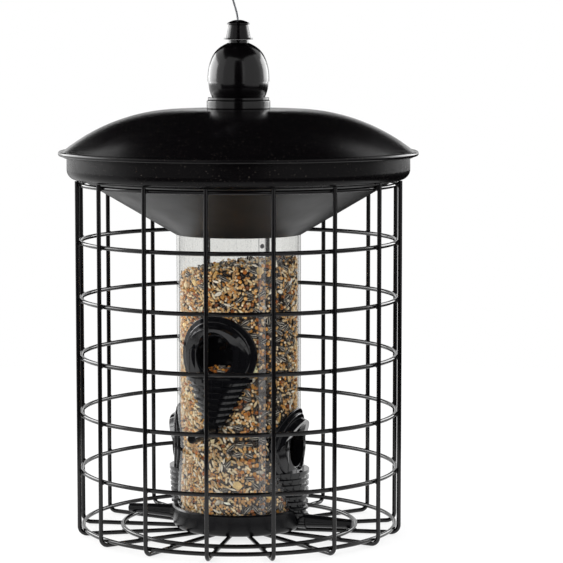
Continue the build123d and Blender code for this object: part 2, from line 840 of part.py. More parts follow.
# Lock rod with its cross pin, and the clip that keeps the roof on it
with BuildPart() as lock_rod:
    with BuildSketch(Plane.XY.offset(rod_foot_z)):
        Circle(rod_r)
    extrude(amount=rod_top_z - rod_foot_z)
    with BuildSketch(Plane.YZ.offset(-pin_length / 2 - overrun)):
        with Locations((0, pin_z)):
            Circle(pin_r + running_gap)
    extrude(amount=pin_length + 2 * overrun, mode=Mode.SUBTRACT)
save(lock_rod.part, "lock_rod")

with BuildPart() as lock_pin:
    with BuildSketch(Plane.YZ.offset(-pin_length / 2)):
        with Locations((0, pin_z)):
            Circle(pin_r)
    extrude(amount=pin_length)
save(lock_pin.part, "lock_pin")

with BuildPart() as rod_clip:
    with BuildSketch(Plane.XY.offset(roof_crown_z - roof_wall - clip_t - face_gap)):
        Circle(clip_r)
        Circle(rod_r + face_gap, mode=Mode.SUBTRACT)
    extrude(amount=clip_t)
save(rod_clip.part, "rod_clip")

# Hanging cable: up out of the cap, through the crimped sleeve, round a loop and back into the sleeve
cable_plane = radial_plane(cable_plane_azimuth)
cable_rise = [
    (0.0, 355.8),
    (0.0, 363.6),
    (3.0, 374.4),
    (6.6, 385.0),
]
cable_loop = [
    (11.0, 402.4),
    (5.5, 415.2),
    (5.7, 426.5),
    (11.8, 434.2),
    (20.6, 436.1),
    (28.1, 431.1),
    (30.2, 421.3),
    (24.6, 411.4),
    (16.4, 403.2),
    (11.6, 396.6),
    (8.73, 385.3),
]
cable_points = cable_rise + cable_loop  # the sleeve is on the run between the two


def corner_radii(points):
    """As large an arc at each corner as its two runs allow."""
    radii = []
    for before, corner, after in zip(points, points[1:], points[2:]):
        into = Vector(*corner) - Vector(*before)
        out_of = Vector(*after) - Vector(*corner)
        turn = math.radians(into.get_angle(out_of))
        radii.append(corner_share * min(into.length, out_of.length) / math.tan(turn / 2))
    return radii


cable_radii = corner_radii(cable_points)
print("cable radii", [round(r, 1) for r in cable_radii])
with BuildPart() as hanging_cable:
    with BuildLine(cable_plane) as cable_route:
        FilletPolyline(*cable_points, radius=cable_radii)
    with BuildSketch(Plane(origin=cable_route.line @ 0, z_dir=cable_route.line % 0)):
        Circle(cable_r)
    sweep()
cable_length = sum(edge.length for edge in cable_route.edges())
plain_volume = math.pi * cable_r**2 * cable_length
print("cable length", round(cable_length, 1), "volume share", round(hanging_cable.part.volume / plain_volume, 4))
save(hanging_cable.part, "hanging_cable")

# Crimped sleeve: a flat oval tube round both strands
lean = direction(cable_plane_azimuth)
run_from, run_to = (lean * u + Vector(0, 0, z) for u, z in (cable_rise[-1], cable_loop[0]))
along = (run_to - run_from).normalized()
across = (lean - along * lean.dot(along)).normalized()
with BuildPart() as cable_sleeve:
    with BuildSketch(Plane(origin=run_from + along * sleeve_from_run, x_dir=across, z_dir=along)):
        with Locations((strand_pitch / 2, 0)):
            SlotCenterToCenter(strand_pitch, 2 * (cable_r + sleeve_gap + sleeve_wall))
            SlotCenterToCenter(strand_pitch, 2 * (cable_r + sleeve_gap), mode=Mode.SUBTRACT)
    extrude(amount=sleeve_length)
save(cable_sleeve.part, "cable_sleeve")
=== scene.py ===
"""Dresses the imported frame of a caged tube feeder: finishes, seed, welds and cable, with a studio round it.

Metres, +Z up, in the frame's own axes. Sizes given in millimetres are turned to metres where they are used.
"""

import math

import bmesh
import bpy
import numpy as np
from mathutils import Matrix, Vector


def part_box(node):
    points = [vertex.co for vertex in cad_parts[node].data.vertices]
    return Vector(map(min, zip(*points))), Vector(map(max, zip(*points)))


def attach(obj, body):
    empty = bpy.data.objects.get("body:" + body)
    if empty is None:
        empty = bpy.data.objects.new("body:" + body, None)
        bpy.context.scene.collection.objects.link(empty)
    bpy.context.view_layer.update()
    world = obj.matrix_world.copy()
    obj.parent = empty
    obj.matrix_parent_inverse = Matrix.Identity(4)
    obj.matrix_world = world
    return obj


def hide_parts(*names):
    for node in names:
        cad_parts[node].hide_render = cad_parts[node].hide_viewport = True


bl_info = {
    "name": "Caged tube feeder",
    "version": (1, 0, 0),
    "blender": (4, 5, 0),
    "location": "View3D > Sidebar > Feeder",
    "description": "Finishes a caged tube feeder and fills it with seed",
    "category": "Object",
}

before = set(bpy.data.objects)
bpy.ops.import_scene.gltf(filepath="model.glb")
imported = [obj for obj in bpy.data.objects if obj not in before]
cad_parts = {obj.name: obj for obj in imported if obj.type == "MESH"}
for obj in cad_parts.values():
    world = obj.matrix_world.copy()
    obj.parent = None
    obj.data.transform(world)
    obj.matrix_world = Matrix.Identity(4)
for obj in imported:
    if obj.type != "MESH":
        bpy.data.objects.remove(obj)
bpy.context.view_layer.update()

MM = 0.001


def linear(hex_colour):
    """An sRGB hex colour as linear red, green and blue."""
    shares = [int(hex_colour[i : i + 2], 16) / 255 for i in (1, 3, 5)]
    return tuple(s / 12.92 if s <= 0.04045 else ((s + 0.055) / 1.055) ** 2.4 for s in shares)


def rgba(colour):
    return (*colour, 1.0)


def outward(azimuth):
    """The level direction out from the feeder's axis at this azimuth, in radians."""
    return Vector((math.cos(azimuth), math.sin(azimuth), 0))


def sideways(azimuth):
    """The level direction a quarter turn further than outward."""
    return Vector((-math.sin(azimuth), math.cos(azimuth), 0))


def middle_of(node):
    low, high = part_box(node)
    return (low + high) / 2


# Counts, places and sizes of the CAD pieces, read from the frame where it tells them
UPRIGHTS, HOOPS = 16, 7
wire_r = (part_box("hoop_1")[1].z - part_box("hoop_1")[0].z) / 2
cage_r = max(abs(v.co.x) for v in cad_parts["hoop_1"].data.vertices) + wire_r
seed_low, seed_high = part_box("seed_fill")
seed_r = seed_high.x
port_azimuths = {"front_upper": -90, "rear_upper": 90, "right_lower": 0, "left_lower": 180}
HOLE_ABOVE_PERCH = 52 * MM
hole_heights = {place: middle_of(f"{place}_perch").z + HOLE_ABOVE_PERCH for place in port_azimuths}
seed_low_edge = seed_high.z - 12 * MM

# A port, seen from outside: its round flange, and the chute that widens upwards from the perch, in mm
FLANGE_R = 27.5
CHUTE_HALF_WIDE, CHUTE_SPREAD, CHUTE_HIGH = 5, 21, 36
# Behind a port the seed stops at its baffle: how far out, and its reach to the sides, down and up, in mm
BAFFLE_FACE, BAFFLE_ASIDE, BAFFLE_DOWN, BAFFLE_UP = 17.4, 25, 16.5, 19

SENSOR_MM = 36


class FeederView(bpy.types.PropertyGroup):
    distance: bpy.props.FloatProperty(
        name="Distance", description="From the feeder's axis to the camera", default=1.7, unit="LENGTH"
    )
    azimuth: bpy.props.FloatProperty(
        name="Azimuth",
        description="How far the camera stands to the right of the front port",
        default=math.radians(22.2),
        subtype="ANGLE",
    )
    height: bpy.props.FloatProperty(
        name="Height", description="Of the camera above the floor", default=0.3486, unit="LENGTH"
    )
    pitch: bpy.props.FloatProperty(
        name="Pitch",
        description="How far the camera looks down",
        default=math.radians(5.73),
        subtype="ANGLE",
    )
    yaw: bpy.props.FloatProperty(
        name="Yaw",
        description="How far the camera looks to the right",
        default=math.radians(1.02),
        subtype="ANGLE",
    )
    lens: bpy.props.FloatProperty(
        name="Lens", description=f"Focal length on a {SENSOR_MM} mm sensor, in millimetres", default=154.04
    )


class FeederColours(bpy.types.PropertyGroup):
    wire: bpy.props.FloatVectorProperty(
        name="Wire", description="Coat on the cage wire", default=linear("#070607"), subtype="COLOR"
    )
    roof: bpy.props.FloatVectorProperty(
        name="Roof", description="Coat on roof, pan and funnel", default=linear("#060506"), subtype="COLOR"
    )
    moulding: bpy.props.FloatVectorProperty(
        name="Moulding",
        description="Ports, perches and base cup",
        default=linear("#0a0a0c"),
        subtype="COLOR",
    )
    finial: bpy.props.FloatVectorProperty(
        name="Finial",
        description="Finial, collar and cable cap",
        default=linear("#040304"),
        subtype="COLOR",
    )
    sheet: bpy.props.FloatVectorProperty(
        name="Clear sheet", description="Haze on the tube", default=linear("#eceef0"), subtype="COLOR"
    )
    backdrop: bpy.props.FloatVectorProperty(
        name="Backdrop", description="Floor and background", default=linear("#ffffff"), subtype="COLOR"
    )


class FeederSeed(bpy.types.PropertyGroup):
    cell: bpy.props.FloatProperty(
        name="Packing step",
        description="Step of the map that keeps seeds apart",
        default=0.4 * MM,
        unit="LENGTH",
    )
    core_depth: bpy.props.FloatProperty(
        name="Core depth",
        description="How far behind the tube's wall the seeds close up",
        default=3.6 * MM,
        unit="LENGTH",
    )
    draw: bpy.props.IntProperty(name="Draw", description="Which random filling is drawn", default=7)


class FeederCable(bpy.types.PropertyGroup):
    diameter: bpy.props.FloatProperty(
        name="Diameter", description="Of the hanging cable", default=1.5 * MM, unit="LENGTH"
    )
    lay: bpy.props.FloatProperty(
        name="Lay", description="Length in which a strand goes once round", default=9 * MM, unit="LENGTH"
    )
    strands: bpy.props.IntProperty(name="Strands", description="Outer strands of the cable", default=6)


# Materials

ZINC = linear("#a8a9ad")


def add_node(tree, kind, links=None, **settings):
    """Adds one node: settings are its attributes, and links gives inputs a value, a socket, or a node, which
    stands for its first output."""
    node = tree.nodes.new(kind)
    for name, value in settings.items():
        setattr(node, name, value)
    for name, value in (links or {}).items():
        socket = node.inputs[name]
        if isinstance(value, bpy.types.Node):
            value = value.outputs[0]
        if isinstance(value, bpy.types.NodeSocket):
            tree.links.new(value, socket)
        else:
            socket.default_value = value
    return node


def per(size_mm):
    """The texture scale at which one feature is this many millimetres wide."""
    return 1 / (size_mm * MM)


def new_material(name):
    """A material, its node tree, and the tree's one node so far: the place on the object, in metres."""
    material = bpy.data.materials.new(name)
    material.use_nodes = True
    tree = material.node_tree
    tree.nodes.clear()
    return material, tree, add_node(tree, "ShaderNodeTexCoord").outputs["Object"]


def relief(tree, place, size_mm, strength, height_mm, detail=3.0):
    """The normal of a surface with bumps of this width and height."""
    rise = add_node(tree, "ShaderNodeTexNoise", {"Vector": place, "Scale": per(size_mm), "Detail": detail})
    return add_node(
        tree, "ShaderNodeBump", {"Height": rise, "Strength": strength, "Distance": height_mm * MM}
    )


def patchy(tree, place, size_mm, noise_span, value_span, detail=3.0, distortion=0.0):
    """A value in patches of this width: as their noise crosses its span, the value crosses its own."""
    noise = add_node(
        tree,
        "ShaderNodeTexNoise",
        {"Vector": place, "Scale": per(size_mm), "Detail": detail, "Distortion": distortion},
    )
    (start, end), (first, last) = noise_span, value_span
    spans = {"From Min": start, "From Max": end, "To Min": first, "To Max": last}
    return add_node(tree, "ShaderNodeMapRange", {"Value": noise, **spans})


def close(material, look):
    """Ends a material with one principled surface that has these inputs."""
    tree = material.node_tree
    surface = add_node(tree, "ShaderNodeBsdfPrincipled", look)
    add_node(tree, "ShaderNodeOutputMaterial", {"Surface": surface})
    return material


def powder_coat(name, colour, roughness, peel_mm, speck, shine):
    """Powder-coated steel, sprayed and baked: near black, a soft gloss with orange peel, and a little dust.

    The dust is drawn about 1 mm wide, coarser than real dust, so that it shows. speck is how pale it gets.
    """
    material, tree, place = new_material(name)
    dust = patchy(tree, place, 1.1, (0.66, 0.76), (0.0, speck))
    tint = add_node(
        tree, "ShaderNodeMix", {0: dust, 6: rgba(colour), 7: rgba(linear("#6d655d"))}, data_type="RGBA"
    )
    gloss_span = (roughness * 0.85, roughness * 1.2)
    look = {
        "Base Color": tint.outputs[2],
        "Roughness": patchy(tree, place, 23.0, (0.3, 0.7), gloss_span, detail=4.0),
        "Normal": relief(tree, place, peel_mm, 0.25, 0.05, detail=2.0),
        "Specular IOR Level": shine,
    }
    return close(material, look)


def moulded(name, colour, roughness, grain_mm=0.8, shine=0.35):
    """ABS, injection moulded: near black, its soft sheen broken by a spark-eroded grain and faint flow marks.

    The grain, really about 0.1 mm wide, is drawn as coarse as it needs to show. A sheared edge looks alike.
    """
    material, tree, place = new_material(name)
    gloss_span = (roughness * 0.9, roughness * 1.15)
    look = {
        "Base Color": rgba(colour),
        "Roughness": patchy(tree, place, 14.0, (0.3, 0.7), gloss_span, distortion=0.6),
        "Normal": relief(tree, place, grain_mm, 0.2, 0.03),
        "Specular IOR Level": shine,
    }
    return close(material, look)


def plated_metal(name, colour, roughness, streak_mm=0.35):
    """Drawn and barrel-plated steel, or bare aluminium: pale grey metal with fine lengthwise drawing marks.

    The marks are drawn a few times coarser than real ones, so that they show.
    """
    material, tree, place = new_material(name)
    stretched = add_node(tree, "ShaderNodeMapping", {"Vector": place, "Scale": (1.0, 1.0, 0.08)})
    look = {
        "Base Color": rgba(colour),
        "Metallic": 1.0,
        "Roughness": roughness,
        "Normal": relief(tree, stretched, streak_mm, 0.15, 0.02, detail=2.0),
    }
    return close(material, look)


def clear_sheet(name, colour, mist):
    """Polycarbonate sheet, extruded and rolled: clear and shiny, hazed in streaks down it and by seed dust.

    mist is haze that lies everywhere. The dust's specks and lines are drawn 1 to 2 mm wide, to show.
    """
    material, tree, place = new_material(name)
    down = add_node(tree, "ShaderNodeMapping", {"Vector": place, "Scale": (1.0, 1.0, 0.03)})
    far_down = add_node(tree, "ShaderNodeMapping", {"Vector": place, "Scale": (1.0, 1.0, 0.002)})
    haze = patchy(tree, down, 3.0, (0.35, 0.75), (mist, 0.025 + mist))
    specks = patchy(tree, place, 1.2, (0.66, 0.72), (0.0, 0.35))
    lines = patchy(tree, far_down, 2.2, (0.72, 0.78), (0.0, 0.3), detail=1.0)
    veil = add_node(tree, "ShaderNodeMath", {0: haze, 1: specks})
    veil = add_node(tree, "ShaderNodeMath", {0: veil, 1: lines})
    clear = add_node(tree, "ShaderNodeBsdfTransparent", {"Color": rgba(linear("#f7f7f6"))})
    near_side = add_node(tree, "ShaderNodeBsdfDiffuse", {"Color": rgba(colour)})
    far_side = add_node(tree, "ShaderNodeBsdfTranslucent", {"Color": rgba(colour)})
    film = add_node(tree, "ShaderNodeMixShader", {0: 0.5, 1: near_side, 2: far_side})
    hazed = add_node(tree, "ShaderNodeMixShader", {0: veil, 1: clear, 2: film})
    facing = add_node(tree, "ShaderNodeFresnel", {"IOR": 1.58})
    inner_side = add_node(tree, "ShaderNodeNewGeometry").outputs["Backfacing"]
    outside = add_node(tree, "ShaderNodeMath", {0: 1.0, 1: inner_side}, operation="SUBTRACT")
    mirror = add_node(tree, "ShaderNodeMath", {0: facing, 1: outside}, operation="MULTIPLY")
    gloss = add_node(tree, "ShaderNodeBsdfAnisotropic", {"Roughness": 0.06})
    sheet = add_node(tree, "ShaderNodeMixShader", {0: mirror, 1: hazed, 2: gloss})
    add_node(tree, "ShaderNodeOutputMaterial", {"Surface": sheet})
    return material


def husk(name, roughness, grain_mm, stripe):
    """Dry seed husk: the seed's own colour, blotched a little, with a dull waxy sheen.

    A sunflower hull's dozen fine pale stripes are drawn as six broad ones, so that they show.
    """
    material, tree, place = new_material(name)
    tint = add_node(tree, "ShaderNodeAttribute", attribute_name="husk").outputs["Color"]
    shade = patchy(tree, place, grain_mm, (0.3, 0.7), (0.72, 1.12))
    coloured = add_node(
        tree, "ShaderNodeMix", {0: 1.0, 6: tint, 7: shade}, data_type="RGBA", blend_type="MULTIPLY"
    ).outputs[2]
    if stripe:
        across = add_node(tree, "ShaderNodeAttribute", attribute_name="across").outputs["Fac"]
        wave = add_node(tree, "ShaderNodeMath", {0: across, 1: 6.0}, operation="MULTIPLY")
        wave = add_node(tree, "ShaderNodeMath", {0: wave}, operation="SINE")
        pale = add_node(tree, "ShaderNodeMapRange", {"Value": wave, "From Min": 0.6, "From Max": 0.9})
        striped = {0: pale, 6: coloured, 7: rgba(linear("#cfc6b8"))}
        coloured = add_node(tree, "ShaderNodeMix", striped, data_type="RGBA").outputs[2]
    return close(material, {"Base Color": coloured, "Roughness": roughness, "Specular IOR Level": 0.12})


def finish(node, material):
    """Gives a carried-over CAD node its material."""
    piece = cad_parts[node]
    piece.data.materials.clear()
    piece.data.materials.append(material)
    return piece


# Meshes

QUAD = [(0, 1, 2, 3)]


def new_object(name, data):
    """An object in the scene that shows this data."""
    shown = bpy.data.objects.new(name, data)
    bpy.context.scene.collection.objects.link(shown)
    return shown


def level_square(size, height):
    """The corners of a square round the feeder's axis."""
    return [(x * size / 2, y * size / 2, height) for x, y in ((-1, -1), (1, -1), (1, 1), (-1, 1))]


def ring_faces(rings, sides, first):
    """Faces between rings of as many points each, one ring after another from the first point on."""
    faces = []
    for start in range(first, first + (rings - 1) * sides, sides):
        for i in range(sides):
            j = (i + 1) % sides
            faces.append((start + i, start + j, start + sides + j, start + sides + i))
    return faces


def mesh_object(name, points, faces, material):
    """An object in the scene from points and faces, all of one material."""
    mesh = bpy.data.meshes.new(name)
    mesh.from_pydata([tuple(p) for p in points], [], [tuple(f) for f in faces])
    mesh.materials.append(material)
    return new_object(name, mesh)


def mesh_piece(name, points, faces, material, body, smooth=True):
    """A new piece of the feeder, from points and faces in the frame's own place."""
    piece = mesh_object(name, points, faces, material)
    piece.data.polygons.foreach_set("use_smooth", [smooth] * len(faces))
    piece.data.update()
    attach(piece, body)
    return piece


def lathe_shape(profile, sides):
    """Points and faces of a shape turned about X; profile is (x, radius) from tip to tip."""
    points = [(profile[0][0], 0.0, 0.0)]
    for x, radius in profile[1:-1]:
        for i in range(sides):
            turn = 2 * math.pi * i / sides
            points.append((x, radius * math.cos(turn), radius * math.sin(turn)))
    points.append((profile[-1][0], 0.0, 0.0))
    rings = len(profile) - 2
    last = len(points) - 1
    faces = [(0, 1 + (i + 1) % sides, 1 + i) for i in range(sides)]
    faces += ring_faces(rings, sides, 1)
    start = 1 + (rings - 1) * sides
    faces += [(last, start + i, start + (i + 1) % sides) for i in range(sides)]
    return np.array(points), faces


def tapered(rings, sides, blunt, nose=0.0):
    """A seed of unit length, width and thickness: fuller for a lower blunt; nose moves its belly back."""
    profile = []
    for ring in range(rings + 2):
        t = ring / (rings + 1)
        belly = t ** (1 + nose)
        profile.append((t - 0.5, 0.5 * math.sin(math.pi * belly) ** blunt if 0 < t < 1 else 0.0))
    return lathe_shape(profile, sides)


def cracked_shape(rng, corners):
    """A broken kernel of about unit size: the hull of a few points on a ball."""
    points = rng.normal(size=(corners, 3))
    points /= 2 * np.linalg.norm(points, axis=1)[:, None]
    hull = bmesh.new()
    for p in points:
        hull.verts.new(p)
    bmesh.ops.convex_hull(hull, input=hull.verts)
    bmesh.ops.delete(hull, geom=[v for v in hull.verts if not v.link_faces], context="VERTS")
    hull.verts.index_update()
    found = np.array([v.co for v in hull.verts])
    faces = [tuple(v.index for v in f.verts) for f in hull.faces]
    hull.free()
    return found, faces


class PackingMap:
    """A map of a surface, unrolled, that keeps the seeds on it from lying in each other."""

    def __init__(self, wide, high, cell, wraps):
        self.cell = cell
        self.wraps = wraps
        self.taken = np.zeros((int(high / cell) + 1, int(wide / cell) + 1), bool)

    def footprint(self, x, y, half_long, half_wide, turn):
        """The cells under an ellipse; its box is searched with a cell to spare on each side."""
        reach = int(half_long / self.cell) + 2
        row, column = int(y / self.cell), int(x / self.cell)
        rows = np.arange(row - reach, row + reach + 1)
        columns = np.arange(column - reach, column + reach + 1)
        dy, dx = np.meshgrid(rows * self.cell - y, columns * self.cell - x, indexing="ij")
        along = dx * math.cos(turn) + dy * math.sin(turn)
        across = dy * math.cos(turn) - dx * math.sin(turn)
        inside = (along / half_long) ** 2 + (across / half_wide) ** 2 < 1
        row_index, column_index = np.nonzero(inside)
        row_index, column_index = rows[row_index], columns[column_index]
        kept = (row_index >= 0) & (row_index < self.taken.shape[0])
        if self.wraps:
            column_index = column_index % self.taken.shape[1]
        else:
            kept &= (column_index >= 0) & (column_index < self.taken.shape[1])
        return row_index[kept], column_index[kept]

    def place(self, x, y, half_long, half_wide, turn, overlap):
        """Marks a seed's footprint, unless more than this share of it is taken."""
        cells = self.footprint(x, y, half_long, half_wide, turn)
        if not len(cells[0]) or self.taken[cells].mean() > overlap:
            return False
        self.taken[cells] = True
        return True


# Seeds of the mix: length, width and thickness in mm, and the colours found among them
SEEDS = {
    "millet": ((2.0, 1.85, 1.7), ("#e6c08a", "#f0d4a8", "#dbaa6a", "#cb9352", "#f6e4c6")),
    "milo": ((3.0, 2.9, 2.7), ("#c4843e", "#d6994a", "#a8642c", "#e0ae6c", "#8a4f26")),
    "grain": ((5.6, 1.7, 1.4), ("#dfc698", "#d2ae78", "#eddcb8", "#bd9562", "#f2e9d8")),
    "nyjer": ((4.8, 1.4, 1.1), ("#1c1816", "#2a2420", "#3c332c")),
    "sunflower": ((8.0, 3.4, 2.5), ("#1b1819", "#2b2829", "#131112")),
    "corn": ((7.4, 5.8, 3.8), ("#e6c88c", "#e3bd74", "#d4a760", "#efd9ae")),
    "safflower": ((5.8, 3.0, 2.6), ("#e6e0d2", "#cfc6b4", "#f0ece2")),
}
# What each seed's outside is, its roughness, how wide its blotches are in mm, and whether it is striped
HUSKS = {
    "millet": ("Proso millet husk, dried and polished", 0.42, 0.9, False),
    "milo": ("Sorghum husk, dried", 0.45, 1.2, False),
    "grain": ("Canary and oat husk, threshed", 0.6, 1.0, False),
    "nyjer": ("Nyjer husk, heat treated", 0.4, 0.8, False),
    "sunflower": ("Striped sunflower hull, dried", 0.55, 1.4, True),
    "corn": ("Cracked maize, kibbled", 0.5, 1.8, False),
    "safflower": ("Safflower hull, dried", 0.45, 1.5, False),
}
# How often each kind is drawn against the wall and on top, big seeds first
DRAWS = {
    "sunflower": (850, 150),
    "corn": (420, 50),
    "safflower": (500, 90),
    "milo": (2600, 120),
    "grain": (5200, 900),
    "nyjer": (3600, 700),
    "millet": (30000, 2000),
}
# How much single seeds of a kind differ in size and in tint, and the bounds of their size
SIZE_SPREAD, TINT_SPREAD, SIZE_BOUNDS = 0.07, 0.12, (0.8, 1.2)
# How the mix has settled: the azimuths of its pale and red streams and the red one's width, in degrees, the
# height over which round seeds give way to long ones, and how deep the dark top layer goes
PALE_AZIMUTH, RED_AZIMUTH, RED_WIDTH = -122, -68, 30
ROUND_ABOVE, ROUND_FADE, TOP_FADE = 118 * MM, 14 * MM, 9 * MM


def seed_shapes(rng):
    """The shapes of each kind, one unit long, wide and thick."""
    return {
        "millet": [tapered(4, 6, 0.55)],
        "milo": [tapered(5, 8, 0.5)],
        "grain": [tapered(5, 6, 0.8, 0.15)],
        "nyjer": [tapered(4, 5, 0.7)],
        "sunflower": [tapered(8, 10, 0.75, 0.3)],
        "corn": [cracked_shape(rng, n) for n in (9, 11, 13, 16)],
        "safflower": [tapered(6, 8, 0.6, 0.3)],
    }


class SeedHeap:
    """Seeds gathered kind by kind, and turned into one piece for each kind at the end."""

    def __init__(self, rng):
        self.rng = rng
        self.shapes = seed_shapes(rng)
        self.found = {kind: [] for kind in SEEDS}

    def add(self, kind, place, axes):
        """axes holds the seed's long, wide and thick directions as columns."""
        self.found[kind].append((place, axes))

    def pieces(self):
        for kind, seeds in self.found.items():
            if seeds:
                self.piece(kind, seeds)

    def piece(self, kind, seeds):
        rng = self.rng
        size, colours = SEEDS[kind]
        size = np.array(size) * MM
        palette = np.array([linear(c) for c in colours])
        points, faces, tints, across = [], [], [], []
        count = 0
        for place, axes in seeds:
            shape, shape_faces = self.shapes[kind][rng.integers(len(self.shapes[kind]))]
            grown = size * rng.normal(1, SIZE_SPREAD, 3).clip(*SIZE_BOUNDS)
            points.append((shape * grown) @ np.asarray(axes).T + place)
            faces += [tuple(i + count for i in f) for f in shape_faces]
            tint = palette[rng.integers(len(palette))] * rng.normal(1, TINT_SPREAD)
            tints.append(np.tile([*tint.clip(0, 1), 1.0], (len(shape), 1)))
            # The tiny step gives the tips, which lie on the axis, an angle too
            across.append(np.arctan2(shape[:, 1], shape[:, 2] + 1e-9))
            count += len(shape)
        stripe = HUSKS[kind][-1]
        finish_of_kind = husk(*HUSKS[kind])
        piece = mesh_piece(
            f"seed_{kind}", np.concatenate(points), faces, finish_of_kind, "root", kind != "corn"
        )
        tint = piece.data.color_attributes.new("husk", "FLOAT_COLOR", "POINT")
        tint.data.foreach_set("color", np.concatenate(tints).ravel())
        if stripe:
            angle = piece.data.attributes.new("across", "FLOAT", "POINT")
            angle.data.foreach_set("value", np.concatenate(across))


def seed_axes(rng, out, turn, tilt):
    """Long, wide and thick directions of a seed lying on a surface that faces out, tilted about this much."""
    out = np.asarray(out, float)
    level = np.cross((0, 0, 1), out) if abs(out[2]) < 0.9 else np.array((1.0, 0, 0))
    level /= np.linalg.norm(level)
    up = np.cross(out, level)
    long = level * math.cos(turn) + up * math.sin(turn)
    long = long + out * rng.normal(0, tilt)
    long /= np.linalg.norm(long)
    wide = np.cross(out, long)
    wide /= np.linalg.norm(wide)
    return np.stack((long, wide, np.cross(long, wide)), axis=1)


def mix_at(azimuth, height, below_top):
    """How common each seed is at this place in the tube: the mix has settled in pale and dark streams."""
    pale = 0.5 + 0.5 * math.cos(math.radians(2 * (azimuth - PALE_AZIMUTH)))
    round_share = 1 / (1 + math.exp(-(height - ROUND_ABOVE) / ROUND_FADE))
    top = math.exp(-below_top / TOP_FADE)
    red = math.exp(-(((azimuth - RED_AZIMUTH + 180) % 180) ** 2) / RED_WIDTH**2)
    return {
        "millet": 0.25 + 1.5 * pale * (0.35 + round_share) * (1 - 0.7 * top),
        "milo": 0.15 + 0.9 * red + 0.35 * pale * round_share,
        "grain": 0.05 + 1.3 * pale * (1.08 - round_share) + 0.6 * top,
        "nyjer": 0.08 + 0.8 * (1 - pale) + 0.5 * top,
        "sunflower": 0.015 + 0.5 * (1 - pale) ** 1.5 + 0.35 * top,
        "corn": 0.12 + 0.1 * (1 - pale),
        "safflower": 0.03 + 0.12 * (1 - pale),
    }


# Operators, one for each group of pieces


